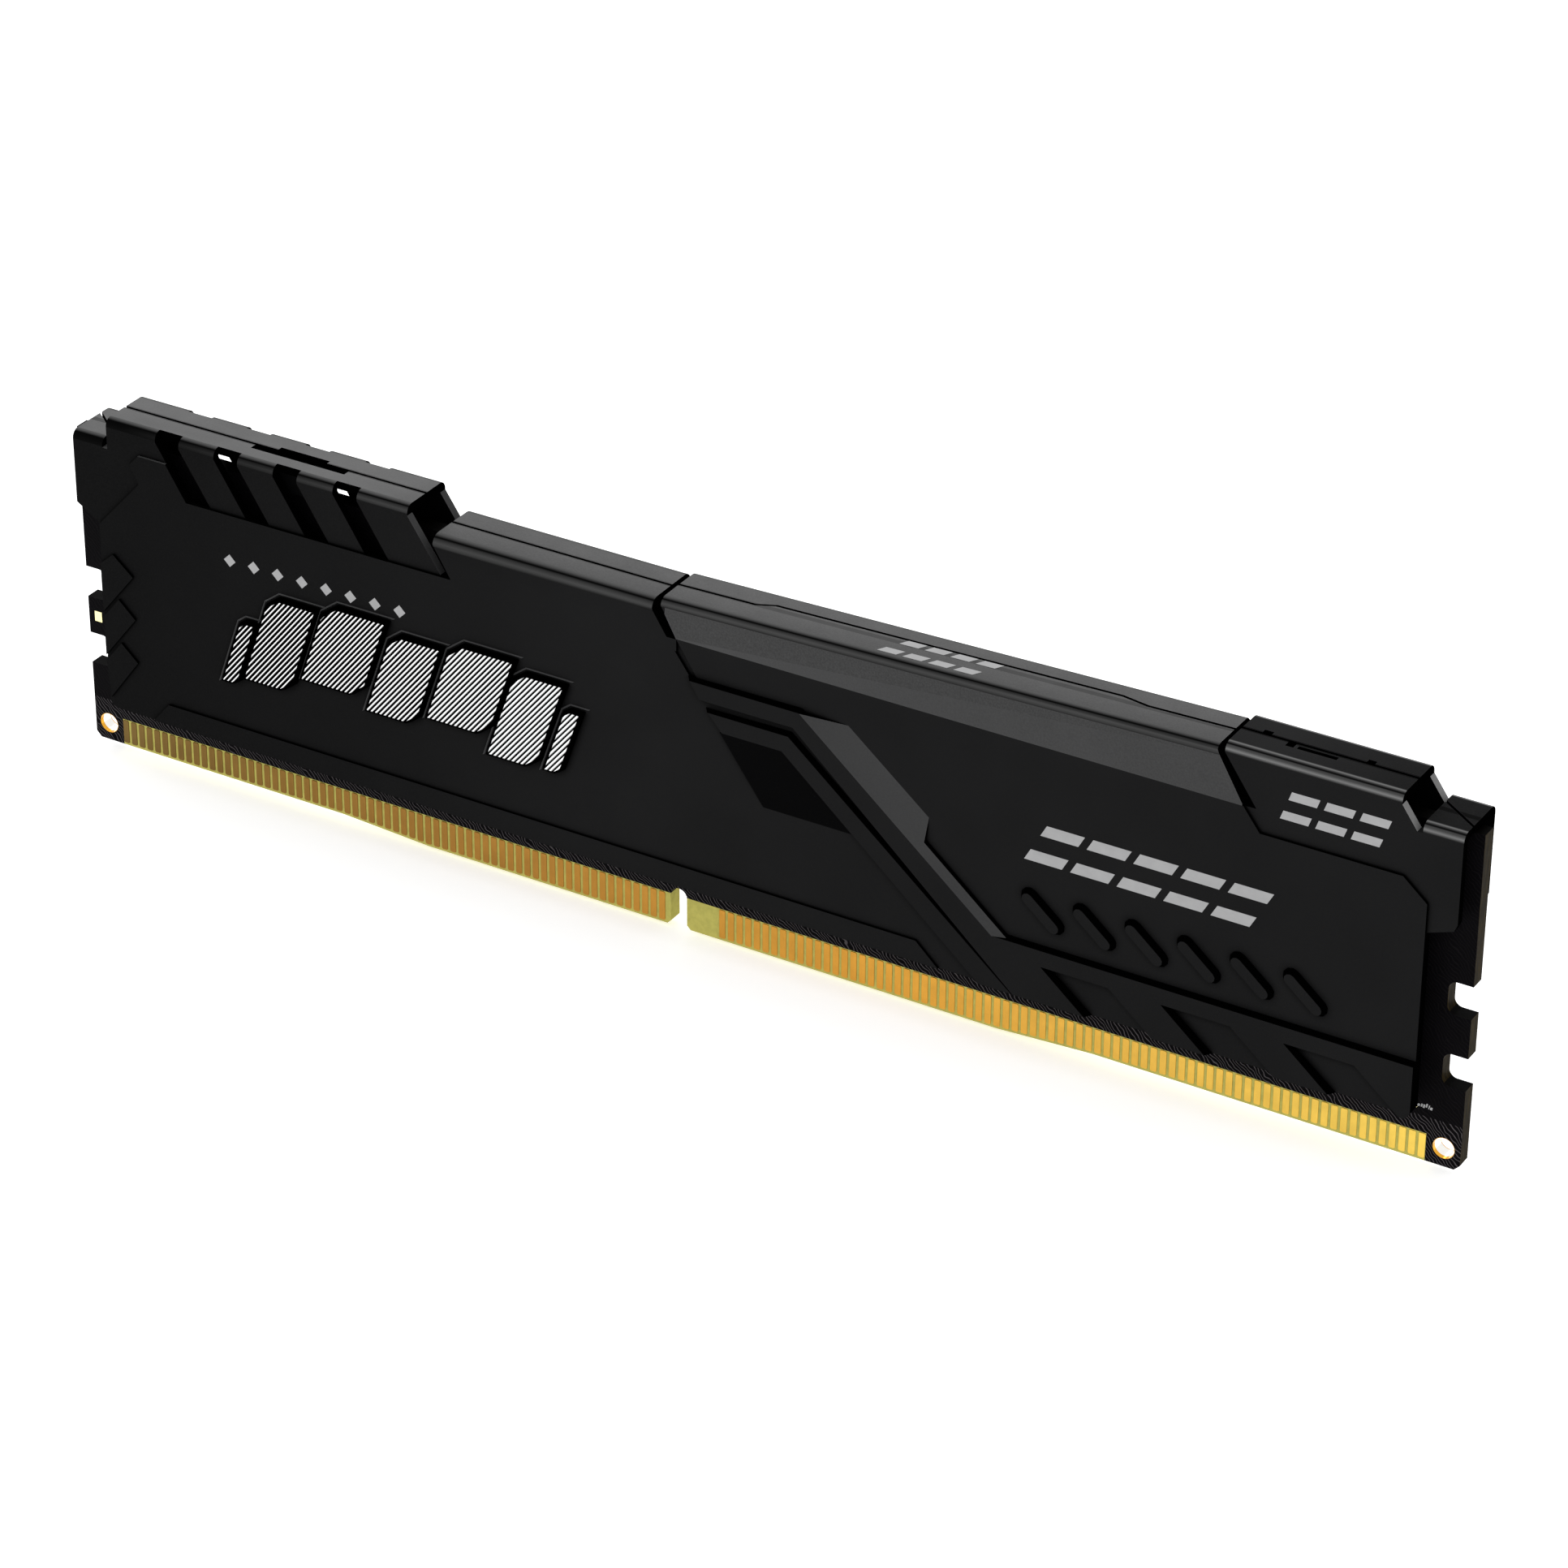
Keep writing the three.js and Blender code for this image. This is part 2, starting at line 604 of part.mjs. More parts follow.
const COLOURS = {
  card: { color: 0x1b1a1c, roughness: 0.45, metalness: 0.0 },
  gold: { color: 0xd9a53a, roughness: 0.28, metalness: 1.0 },
  chip: { color: 0x18181a, roughness: 0.6, metalness: 0.0 },
  pad: { color: 0x8f939b, roughness: 0.9, metalness: 0.0 },
  sheet: { color: 0x232325, roughness: 0.5, metalness: 0.4 },
  spring: { color: 0x101011, roughness: 0.6, metalness: 0.5 },
  passive: { color: 0x8a6a4a, roughness: 0.5, metalness: 0.1 },
};

const root = new THREE.Group();

function addPiece(parent, name, geometry, look) {
  const mesh = new THREE.Mesh(geometry, new THREE.MeshStandardMaterial(COLOURS[look]));
  mesh.name = name;
  parent.add(mesh);
  return mesh;
}

function addContacts(parent, side, label) {
  for (const bank of ['left', 'right']) {
    addPiece(parent, `contacts_${label}_${bank}`, contactBankGeometry(bank, side), 'gold');
  }
}

function addChips(parent, side, label) {
  CHIP_X.forEach((x, i) => {
    const geometry = boxGeometry(CHIP_WIDTH, CHIP_THICKNESS, CHIP_HEIGHT);
    const chip = addPiece(parent, `dram_${label}_${i + 1}`, geometry, 'chip');
    chip.position.set(x, side * chipDepth(), CHIP_Z);
  });
}

function addPad(parent, side, label) {
  const geometry = boxGeometry(PAD_LENGTH, PAD_THICKNESS, PAD_HEIGHT);
  const pad = addPiece(parent, `thermal_pad_${label}`, geometry, 'pad');
  pad.position.set(0, side * padDepth(), CHIP_Z);
}

function addPassives(parent, side, label) {
  const depth = 0.45;
  const y = side * (CARD_THICKNESS / 2 + STACK_GAP + depth / 2);
  [-47.75, -33.25, -18.75, 18.75, 33.25, 47.75].forEach((x, i) => {
    const array = addPiece(parent, `resistor_array_${label}_${i + 1}`,
      boxGeometry(2.0, depth, 1.0), 'passive');
    array.position.set(x, y, 8.4);
  });
}

function addSpd(parent) {
  const spd = addPiece(parent, 'spd_eeprom', boxGeometry(3.0, 0.75, 2.0), 'chip');
  spd.position.set(0, CARD_THICKNESS / 2 + STACK_GAP + 0.375, 19.5);
}

const card = new THREE.Group();
root.add(card);
const board = cardSolid();
for (const [name, xRange, zRange] of CARD_PIECES) {
  addPiece(card, name, cardPieceGeometry(board, xRange, zRange), 'card');
}
for (const [side, label] of [[-1, 'front'], [1, 'back']]) {
  addContacts(card, side, label);
  addChips(card, side, label);
  addPad(card, side, label);
  addPassives(card, side, label);
}
addSpd(card);

const cover = new THREE.Group();
root.add(cover);
addPiece(cover, 'heat_spreader_front', spreaderGeometry(true), 'sheet');
addPiece(cover, 'heat_spreader_back', spreaderGeometry(false), 'sheet');
addPiece(cover, 'bridge_left', bridgeGeometry(7.0), 'spring').position.x = -43.2;
addPiece(cover, 'bridge_right', bridgeGeometry(8.0), 'spring').position.x = 52.3;

export default root;
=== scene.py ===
"""Looks of a memory module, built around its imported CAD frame. Metres, +X along the card,
-Y out of the marked face, +Z up from the contact edge."""

import math
import random

import bmesh
import bpy
from mathutils import Matrix, Vector


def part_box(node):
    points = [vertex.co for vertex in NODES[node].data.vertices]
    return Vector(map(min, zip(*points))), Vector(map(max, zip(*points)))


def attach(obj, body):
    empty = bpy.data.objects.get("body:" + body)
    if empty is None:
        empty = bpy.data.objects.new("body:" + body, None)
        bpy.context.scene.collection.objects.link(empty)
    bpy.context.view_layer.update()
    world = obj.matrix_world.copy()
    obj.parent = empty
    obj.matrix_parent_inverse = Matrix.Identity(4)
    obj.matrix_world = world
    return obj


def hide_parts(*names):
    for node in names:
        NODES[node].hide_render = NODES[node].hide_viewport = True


MM = 0.001
BODY = "root"
random.seed(288)

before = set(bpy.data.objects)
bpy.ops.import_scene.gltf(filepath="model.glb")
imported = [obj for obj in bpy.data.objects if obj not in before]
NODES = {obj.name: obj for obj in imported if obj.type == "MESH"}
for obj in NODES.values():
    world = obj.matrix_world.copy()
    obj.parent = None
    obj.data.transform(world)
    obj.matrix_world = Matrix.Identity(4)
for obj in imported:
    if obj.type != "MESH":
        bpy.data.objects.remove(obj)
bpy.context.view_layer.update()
SIDES = {"front": -1, "back": 1}


# ---------------------------------------------------------------- camera, light, floor

CAMERA_AT = Vector((206.8436, -340.1358, 246.9286)) * MM
CAMERA_AZIMUTH = 30.778
CAMERA_ELEVATION = 30.1965
CAMERA_ROLL = 0.2714
CAMERA_LENS = 127.84
CAMERA_SENSOR = 36.0
CAMERA_CLIP = (0.01, 20.0)

WORLD_STRENGTH = 0.95
# name, place and target in metres, size, power
SOFTBOXES = [
    ("softbox_over", (-0.2, 0.3, 0.75), (-0.02, 0, 0.02), (0.5, 0.4), 1.6),
    ("strip_behind", (-0.3, 0.36, 0.27), (-0.03, 0, 0.033), (0.4, 0.12), 0.35),
]


def make_camera():
    """The camera, set by its place, the way it looks and its small roll."""
    az, el = math.radians(CAMERA_AZIMUTH), math.radians(CAMERA_ELEVATION)
    back = Vector((math.sin(az) * math.cos(el), -math.cos(az) * math.cos(el), math.sin(el)))
    right = (-back).cross(Vector((0, 0, 1))).normalized()
    up = right.cross(-back)
    c, s = math.cos(math.radians(CAMERA_ROLL)), math.sin(math.radians(CAMERA_ROLL))
    x_axis = right * c + up * s
    y_axis = up * c - right * s
    data = bpy.data.cameras.new("camera")
    data.lens = CAMERA_LENS
    data.sensor_width = CAMERA_SENSOR
    data.clip_start, data.clip_end = CAMERA_CLIP
    camera = bpy.data.objects.new("camera", data)
    turn = Matrix((x_axis, y_axis, back)).transposed()
    camera.matrix_world = Matrix.Translation(CAMERA_AT) @ turn.to_4x4()
    bpy.context.scene.collection.objects.link(camera)
    bpy.context.scene.camera = camera


def add_area(name, at, aim, size, power):
    data = bpy.data.lights.new(name, "AREA")
    data.shape = "RECTANGLE"
    data.size, data.size_y = size
    data.energy = power
    lamp = bpy.data.objects.new(name, data)
    lamp.location = Vector(at)
    lamp.rotation_mode = "QUATERNION"
    lamp.rotation_quaternion = (Vector(aim) - Vector(at)).to_track_quat("-Z", "Y")
    bpy.context.scene.collection.objects.link(lamp)


def make_studio():
    world = bpy.data.worlds.new("studio")
    bpy.context.scene.world = world
    world.use_nodes = True
    background = world.node_tree.nodes["Background"]
    background.inputs["Color"].default_value = (1.0, 1.0, 1.0, 1.0)
    background.inputs["Strength"].default_value = WORLD_STRENGTH
    for softbox in SOFTBOXES:
        add_area(*softbox)
    bpy.context.scene.view_settings.view_transform = "Standard"


# ---------------------------------------------------------------- material kit

EDGE_GAIN = 5.0
# Painted shade against openness, from a tight inside corner to a free face
CORNER_SHADE_TONES = [(0.5, (0.02,) * 3), (0.75, (0.35,) * 3), (0.97, (1.0,) * 3)]


def socket(value):
    """A colour with its alpha added; anything else unchanged."""
    return (*value, 1.0) if isinstance(value, tuple) and len(value) == 3 else value


class Look:
    """A Principled material and the nodes that feed it, in the row frame's coordinates."""

    def __init__(self, name, metallic=0.0, specular=0.5):
        self.material = bpy.data.materials.new(name)
        self.material.use_nodes = True
        self.tree = self.material.node_tree
        self.shader = self.tree.nodes["Principled BSDF"]
        self.shader.inputs["Metallic"].default_value = metallic
        self.shader.inputs["Specular IOR Level"].default_value = specular
        self.place = self.add("ShaderNodeTexCoord").outputs["Object"]
        self.bumps = None

    def add(self, kind, **settings):
        node = self.tree.nodes.new(kind)
        for key, value in settings.items():
            setattr(node, key, value)
        return node

    def join(self, source, target):
        self.tree.links.new(source, target)

    def stretched(self, scale):
        node = self.add("ShaderNodeMapping")
        self.join(self.place, node.inputs["Vector"])
        node.inputs["Scale"].default_value = scale
        return node.outputs["Vector"]

    def noise(self, grain_mm, detail=3.0, stretch=(1, 1, 1)):
        node = self.add("ShaderNodeTexNoise")
        self.join(self.stretched(stretch), node.inputs["Vector"])
        node.inputs["Scale"].default_value = 1.0 / (grain_mm * MM)
        node.inputs["Detail"].default_value = detail
        return node.outputs["Fac"]

    def ramp(self, value, stops):
        node = self.add("ShaderNodeValToRGB")
        self.join(value, node.inputs["Fac"])
        elements = node.color_ramp.elements
        while len(elements) < len(stops):
            elements.new(0.5)
        for element, (at, colour) in zip(elements, stops):
            element.position = at
            element.color = socket(colour)
        return node.outputs["Color"]

    def math(self, operation, *values, clamp=False):
        node = self.add("ShaderNodeMath", operation=operation, use_clamp=clamp)
        for slot, value in zip(node.inputs, values):
            if isinstance(value, (int, float)):
                slot.default_value = value
            else:
                self.join(value, slot)
        return node.outputs[0]

    def axes(self):
        node = self.add("ShaderNodeSeparateXYZ")
        self.join(self.place, node.inputs[0])
        return node.outputs

    def blend(self, factor, first, second, mode="MIX"):
        node = self.add("ShaderNodeMix", data_type="RGBA", blend_type=mode)
        for slot, value in ((node.inputs[0], factor), (node.inputs[6], first),
                            (node.inputs[7], second)):
            if isinstance(value, (int, float, tuple)):
                slot.default_value = socket(value)
            else:
                self.join(value, slot)
        return node.outputs[2]

    def edge(self, radius_mm):
        """1 along sharp edges of the solid, 0 on its flats."""
        rounded = self.add("ShaderNodeBevel", samples=4)
        rounded.inputs["Radius"].default_value = radius_mm * MM
        flat = self.add("ShaderNodeNewGeometry").outputs["Normal"]
        dot = self.add("ShaderNodeVectorMath", operation="DOT_PRODUCT")
        self.join(rounded.outputs[0], dot.inputs[0])
        self.join(flat, dot.inputs[1])
        gap = self.math("SUBTRACT", 1.0, dot.outputs["Value"])
        return self.math("MULTIPLY", gap, EDGE_GAIN, clamp=True)

    def corner_shade(self, reach_mm):
        """Painted shade: 1 on open faces, lower in inside corners and beside raised steps."""
        node = self.add("ShaderNodeAmbientOcclusion", samples=8)
        node.inputs["Distance"].default_value = reach_mm * MM
        return self.ramp(node.outputs["AO"], CORNER_SHADE_TONES)

    def colour(self, value):
        self.join(value, self.shader.inputs["Base Color"])

    def rough(self, value, low, high):
        node = self.add("ShaderNodeMapRange")
        self.join(value, node.inputs["Value"])
        node.inputs["To Min"].default_value = low
        node.inputs["To Max"].default_value = high
        self.join(node.outputs[0], self.shader.inputs["Roughness"])

    def lengthways(self, x0_mm, factor0, x1_mm, factor1):
        """A grey factor that changes from one place along the module to another."""
        node = self.add("ShaderNodeMapRange")
        self.join(self.axes()[0], node.inputs["Value"])
        node.inputs["From Min"].default_value = x0_mm * MM
        node.inputs["From Max"].default_value = x1_mm * MM
        low, high = min(factor0, factor1), max(factor0, factor1)
        if factor0 > factor1:
            node.inputs["To Min"].default_value = 1.0
            node.inputs["To Max"].default_value = 0.0
        return self.ramp(node.outputs[0], [(0.0, (low,) * 3), (1.0, (high,) * 3)])

    def normal(self):
        """The X, Y and Z parts of the surface's normal."""
        parts = self.add("ShaderNodeSeparateXYZ")
        self.join(self.add("ShaderNodeNewGeometry").outputs["Normal"], parts.inputs[0])
        return parts.outputs

    def finish_sheet(self, grain, rough):
        """Uneven polish and the fine grain of the coat."""
        self.rough(self.noise(2.5, 3.0), rough - 0.06, rough + 0.07)
        self.bump(grain, 0.012, 0.35)

    def bump(self, value, depth_mm, strength=1.0):
        node = self.add("ShaderNodeBump")
        node.inputs["Distance"].default_value = depth_mm * MM
        node.inputs["Strength"].default_value = strength
        self.join(value, node.inputs["Height"])
        if self.bumps is not None:
            self.join(self.bumps, node.inputs["Normal"])
        self.bumps = node.outputs[0]
        self.join(self.bumps, self.shader.inputs["Normal"])


def grey(tone):
    """Linear grey of an 8-bit display tone."""
    return ((tone / 255) ** 2.2,) * 3


def tones(colour, spread):
    """Dark, middle and light tone of one colour, as ramp stops."""
    dark = tuple(c * (1 - spread) for c in colour)
    light = tuple(min(1.0, c * (1 + spread)) for c in colour)
    return [(0.3, dark), (0.5, colour), (0.7, light)]


SHEET_GRAIN = 0.16
# Painted shadow beside the seam between the two halves: its half-width in mm and its tone
SEAM_SHADE_Y = 0.27
SEAM_SHADOW_TONE = (0.0004, 0.0004, 0.0004)


def sheet_look(name, colour, specular, rough, wear_and_highlight=0.006, line=None, along=None, seam=False):
    """Black coated aluminium: fine grain and slow clouding. Its edges have a lighter tone,
    partly rubbed wear and partly a painted highlight, or, where line is given, a painted shade
    line and painted shade in its corners. along = (x0, factor0, x1, factor1) paints shade
    lengthways, and seam adds a painted shadow beside the gap between the two halves."""
    look = Look(name, specular=specular)
    grain = look.noise(SHEET_GRAIN, 4.0)
    base = look.ramp(look.noise(9.0, 2.0), tones(colour, 0.12))
    # Painted shade, changing lengthways
    if along is not None:
        base = look.blend(1.0, base, look.lengthways(*along), "MULTIPLY")
    light = tuple(c * 1.7 for c in colour)
    speck = look.blend(look.math("MULTIPLY", grain, 0.5), base, light)
    # Painted shadow beside the gap between the two halves
    if seam:
        beside = look.math("LESS_THAN", look.math("ABSOLUTE", look.axes()[1]), SEAM_SHADE_Y * MM)
        speck = look.blend(beside, speck, SEAM_SHADOW_TONE)
    # Lighter edges: partly rubbed wear, partly a painted highlight
    if line is None:
        rubbed_and_lit = look.math("MULTIPLY", look.edge(0.07), look.noise(1.2, 3.0))
        worn_and_lit = tuple(c * 2.5 + wear_and_highlight for c in colour)
        look.colour(look.blend(look.math("MULTIPLY", rubbed_and_lit, 0.8), speck, worn_and_lit))
    else:
        # Painted shade: a dark line along the edges, and darkening in inside corners and beside
        # raised steps
        lined = look.blend(look.edge(0.06), speck, line)
        look.colour(look.blend(1.0, lined, look.corner_shade(0.8), "MULTIPLY"))
    look.finish_sheet(grain, rough)
    return look.material


# Painted reflections on a rounded fold, the right-hand set also in painted shade: tone against
# the turn of its surface, from 0 (flat top) to 1 (upright face)
FOLD_REFLECTIONS_LEFT = [(0.0, 84), (0.16, 76), (0.27, 56), (0.38, 10), (0.43, 8), (0.52, 48),
                   (0.74, 70), (0.88, 58), (0.97, 24), (1.0, 24)]
FOLD_REFLECTIONS_RIGHT = [(0.0, 38), (0.06, 50), (0.13, 108), (0.25, 62), (0.34, 24), (0.41, 8),
                    (0.49, 64), (0.6, 72), (0.78, 116), (0.93, 44), (1.0, 28)]
LOWER_FOLD_TURN = 0.4


def fold_look(name, tone_stops, along=None):
    """The same coat on a rounded fold, toned in light and dark bands by the turn of its surface:
    painted reflections. along paints shade on the lower bands lengthways, as in sheet_look."""
    look = Look(name, specular=0.02)
    # Painted reflections: light and dark bands by the turn of the surface
    turn = look.math("MULTIPLY", look.math("ARCCOSINE", look.normal()[2]), 2 / math.pi)
    bands = look.ramp(turn, [(at, grey(tone)) for at, tone in tone_stops])
    grain = look.noise(SHEET_GRAIN, 4.0)
    cloud = look.ramp(look.noise(6.0, 3.0), tones((0.92, 0.92, 0.92), 0.06))
    # Painted shade on the lower bands, changing lengthways
    if along is not None:
        lower = look.math("GREATER_THAN", turn, LOWER_FOLD_TURN)
        shaded = look.blend(1.0, bands, look.lengthways(*along), "MULTIPLY")
        bands = look.blend(lower, bands, shaded)
    look.colour(look.blend(1.0, bands, cloud, "MULTIPLY"))
    look.finish_sheet(grain, 0.4)
    return look.material


GOLD_ENDS_X = (-65, 65)
# Gold tones from the left end to the right, darker to the left: painted shade
GOLD_SHADE_TONES = [(0.0, (0.155, 0.1, 0.03)), (0.34, (0.43, 0.21, 0.04)),
              (0.62, (0.76, 0.37, 0.053)), (1.0, (0.94, 0.66, 0.12))]


def gold_look():
    """Gold plating, darker towards the left end as painted shade, with faint scuffs from
    insertion.
    """
    look = Look("gold_plating", metallic=1.0, specular=0.5)
    along = look.add("ShaderNodeMapRange")
    look.join(look.axes()[0], along.inputs["Value"])
    along.inputs["From Min"].default_value = GOLD_ENDS_X[0] * MM
    along.inputs["From Max"].default_value = GOLD_ENDS_X[1] * MM
    tone = look.ramp(along.outputs[0], GOLD_SHADE_TONES)
    cloud = look.ramp(look.noise(1.5, 3.0), [(0.3, (0.86, 0.86, 0.86)), (0.7, (1, 1, 1))])
    look.colour(look.blend(1.0, tone, cloud, "MULTIPLY"))
    scuff = look.noise(0.25, 4.0, (6, 1, 0.5))
    look.rough(scuff, 0.26, 0.46)
    look.bump(scuff, 0.006, 0.3)
    return look.material


FAN_OUT_TOP_Z = 4.6
BARE_TOP_Z = 3.05
BARE_END_X = 63.65
MASK_TONE = (0.0022, 0.0019, 0.0024)
TRACK_TONE = (0.085, 0.078, 0.082)
TRACK_SHOWS = 0.04
TRACK_SHOWS_MORE = 0.7
LAMINATE_TONE = (0.47, 0.43, 0.11)
FIBRE_TONES = [(0.3, (0.004, 0.0025, 0.0005)), (0.5, (0.011, 0.0072, 0.0016)),
               (0.72, (0.027, 0.018, 0.004))]
CUT_TONE = (0.0003, 0.0002, 0.0001)


def masked_face(look, z):
    """Black solder mask over fine tracks, which show more where they fan out below."""
    mask = look.ramp(look.noise(3.0, 3.0), tones(MASK_TONE, 0.2))
    lines = look.add("ShaderNodeTexWave", wave_type="BANDS", bands_direction="DIAGONAL")
    look.join(look.place, lines.inputs["Vector"])
    lines.inputs["Scale"].default_value = 1500.0
    lines.inputs["Distortion"].default_value = 9.0
    lines.inputs["Detail"].default_value = 1.0
    lines.inputs["Detail Scale"].default_value = 0.6
    track = look.math("GREATER_THAN", lines.outputs["Fac"], 0.88)
    fan_out = look.math("LESS_THAN", z, FAN_OUT_TOP_Z * MM)
    strength = look.math("MULTIPLY_ADD", fan_out, TRACK_SHOWS_MORE, TRACK_SHOWS)
    return look.blend(look.math("MULTIPLY", track, strength), mask, TRACK_TONE)


def board_look():
    """The card: masked faces, bare laminate along the contact edge, and a brown layered
    fibre tone on its cut ends."""
    look = Look("board_mask", specular=0.015)
    x, _, z = look.axes()
    normal_x, normal_y, _ = look.normal()
    faces = masked_face(look, z)

    bare = look.ramp(look.noise(0.5, 3.0), tones(LAMINATE_TONE, 0.1))
    low = look.math("LESS_THAN", z, BARE_TOP_Z * MM)
    inner = look.math("LESS_THAN", look.math("ABSOLUTE", x), BARE_END_X * MM)
    contact_edge = look.math("MULTIPLY", low, inner)
    faces = look.blend(contact_edge, faces, bare)

    ply = look.noise(0.22, 2.0, (0.12, 2.2, 0.12))
    at_end = look.math("GREATER_THAN", look.math("ABSOLUTE", normal_x), 0.7)
    cut_tone = look.blend(at_end, CUT_TONE, look.ramp(ply, FIBRE_TONES))
    cut = look.math("LESS_THAN", look.math("ABSOLUTE", normal_y), 0.5)
    look.colour(look.blend(cut, faces, look.blend(contact_edge, cut_tone, bare)))
    look.rough(look.noise(0.6, 3.0), 0.42, 0.58)
    look.bump(ply, 0.01, 0.2)
    return look.material


HOLE_RIM_FRONT_Y = 0.36
HOLE_RIM_BACK_Y = 0.64
RIM_GOLD = (0.85, 0.42, 0.04)
# Near-white plating within the hole: a painted highlight
PALE_PLATING_HIGHLIGHT = (1.0, 0.98, 0.93)


def hole_look():
    """Plating of a tooling hole: yellow gold at the rims, narrower at the back, and near-white
    plating within, a painted highlight."""
    look = Look("hole_plating", metallic=1.0)
    y = look.axes()[1]
    depth = look.math("ABSOLUTE", y)
    both_rims = look.math("GREATER_THAN", depth, HOLE_RIM_FRONT_Y * MM)
    at_back = look.math("GREATER_THAN", y, 0.0)
    inner = look.math("LESS_THAN", depth, HOLE_RIM_BACK_Y * MM)
    too_deep = look.math("MULTIPLY", at_back, inner)
    rim = look.math("SUBTRACT", both_rims, too_deep, clamp=True)
    cloud = look.ramp(look.noise(0.4, 2.0), tones((0.97, 0.97, 0.97), 0.02))
    plating = look.blend(rim, PALE_PLATING_HIGHLIGHT, RIM_GOLD)
    look.colour(look.blend(1.0, plating, cloud, "MULTIPLY"))
    look.rough(look.noise(0.2, 2.0), 0.1, 0.2)
    return look.material


def plain_look(name, colour, rough, grain_mm, metallic=0.0, specular=0.4, spread=0.15,
               depth_mm=0.01):
    """A colour with its own clouding, uneven polish, grain and lighter edges."""
    look = Look(name, metallic=metallic, specular=specular)
    grain = look.noise(grain_mm, 4.0)
    base = look.ramp(look.noise(grain_mm * 9, 3.0), tones(colour, spread))
    lit = tuple(min(1.0, c * 1.6 + 0.01) for c in colour)
    look.colour(look.blend(look.math("MULTIPLY", look.edge(0.05), 0.5), base, lit))
    look.rough(grain, max(0.05, rough - 0.08), min(1.0, rough + 0.08))
    look.bump(grain, depth_mm, 0.4)
    return look.material


# ---------------------------------------------------------------- mesh kit

def new_piece(name, bm, materials, smooth_degrees=None):
    """An object on the one body, with smooth shading below the given angle."""
    bmesh.ops.recalc_face_normals(bm, faces=bm.faces)
    if smooth_degrees is not None:
        limit = math.radians(smooth_degrees)
        for face in bm.faces:
            face.smooth = True
        for edge in bm.edges:
            edge.smooth = len(edge.link_faces) == 2 and edge.calc_face_angle(0) < limit
    mesh = bpy.data.meshes.new(name)
    bm.to_mesh(mesh)
    bm.free()
    for material in materials:
        mesh.materials.append(material)
    piece = bpy.data.objects.new(name, mesh)
    bpy.context.scene.collection.objects.link(piece)
    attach(piece, BODY)
    return piece


def signed_area(points):
    """Area of an outline, positive where it runs anticlockwise."""
    total = 0.0
    for (x0, z0), (x1, z1) in zip(points, points[1:] + points[:1]):
        total += x0 * z1 - x1 * z0
    return total / 2


def shrink(points, amount):
    """A convex outline moved inward by amount on every side."""
    if signed_area(points) < 0:
        points = points[::-1]
    count = len(points)
    out = []
    for i in range(count):
        a, b, c = (Vector(points[i - 1]), Vector(points[i]), Vector(points[(i + 1) % count]))
        before, after = (b - a).normalized(), (c - b).normalized()
        n0, n1 = Vector((-before.y, before.x)), Vector((-after.y, after.x))
        out.append(tuple(b + (n0 + n1) * (amount / (1.0 + n0.dot(n1)))))
    return out


def add_prism(bm, points, y_base, y_top, chamfer):
    """A convex outline in X and Z raised from y_base to y_top, its outer rim chamfered."""
    if signed_area(points) < 0:
        points = points[::-1]
    step = math.copysign(chamfer, y_top - y_base)
    rings = [(points, y_base), (points, y_top - step), (shrink(points, chamfer), y_top)]
    loops = [[bm.verts.new((x * MM, y * MM, z * MM)) for x, z in ring] for ring, y in rings]
    count = len(points)
    for lower, upper in zip(loops, loops[1:]):
        for i in range(count):
            j = (i + 1) % count
            bm.faces.new((lower[i], lower[j], upper[j], upper[i]))
    bm.faces.new(loops[0][::-1])
    bm.faces.new(loops[-1])


def clip(points, line_at, direction, keep_below):
    """The part of a convex outline on one side of a line, by its distance along direction."""
    def measure(p):
        value = p[0] * direction[0] + p[1] * direction[1] - line_at
        return -value if keep_below else value
    out = []
    for p, q in zip(points, points[1:] + points[:1]):
        a, b = measure(p), measure(q)
        if a >= 0:
            out.append(p)
        if (a >= 0) != (b >= 0):
            t = a / (a - b)
            out.append((p[0] + (q[0] - p[0]) * t, p[1] + (q[1] - p[1]) * t))
    return out


def tidy_outline(points, gap=0.03):
    """An outline without points closer together than the gap."""
    kept = []
    for p in points:
        if not kept or math.dist(p, kept[-1]) > gap:
            kept.append(p)
    if len(kept) > 1 and math.dist(kept[0], kept[-1]) <= gap:
        kept.pop()
    return kept


# ---------------------------------------------------------------- heat spreader

# Kinds of surface on the sheet. Each takes its own tone of the one black coat, painted lighter
# or darker in place of light and shade: the walls near-black, the bevels, flanges, lean-back
# band and slanted ends lighter, the facets, inner faces and right-hand flanges darker, and the
# rounded folds in painted reflection bands.
FACE, CUT, LIT, SHADE, FOLD, LEAN, END, CURVE, SHADED_FOLD, SHADED_FOLD_CURVE = range(10)
FOLD_FOOT_Z = 31.0
FOLD_SKIN_Y = 2.15
SLANTED_END_LEFT_X = (-31.0, -27.3)
SLANTED_END_RIGHT_X = (60.4, 62.7)
# Flanges right of this x take a darker tone: painted shade
SHADED_FOLD_FROM_X = 45.2
CURVE_NORMAL_Z = (0.1, 0.995)
FOLD_FLANK_Z = 33.2
LEAN_FOOT_Z = 29.1
LIT_BEVEL_FROM_X = -45.0
MAIN_FACE_Y = 3.05
PANEL_FACE_Y = 2.85
EMBLEM_SINK = 0.03
RIM = 0.045
RIM_ANGLE = 35
SMOOTH_ANGLE = 24
FLAT_ANGLE = 0.6
SAME_PLACE = 1e-5

# Lengthways shading: from x and factor to x and factor
FACE_SHADE = (-60, 0.1, -10, 1.0)
LEAN_SHADE = (-5, 1.0, 45, 0.68)
FOLD_SHADE = (-33, 1.0, -26, 0.3)
LOWER_FOLD_SHADE = (-60, 0.02, -26, 1.0)
SHADED_FOLD_SHADE = (50, 1.0, 62, 0.35)


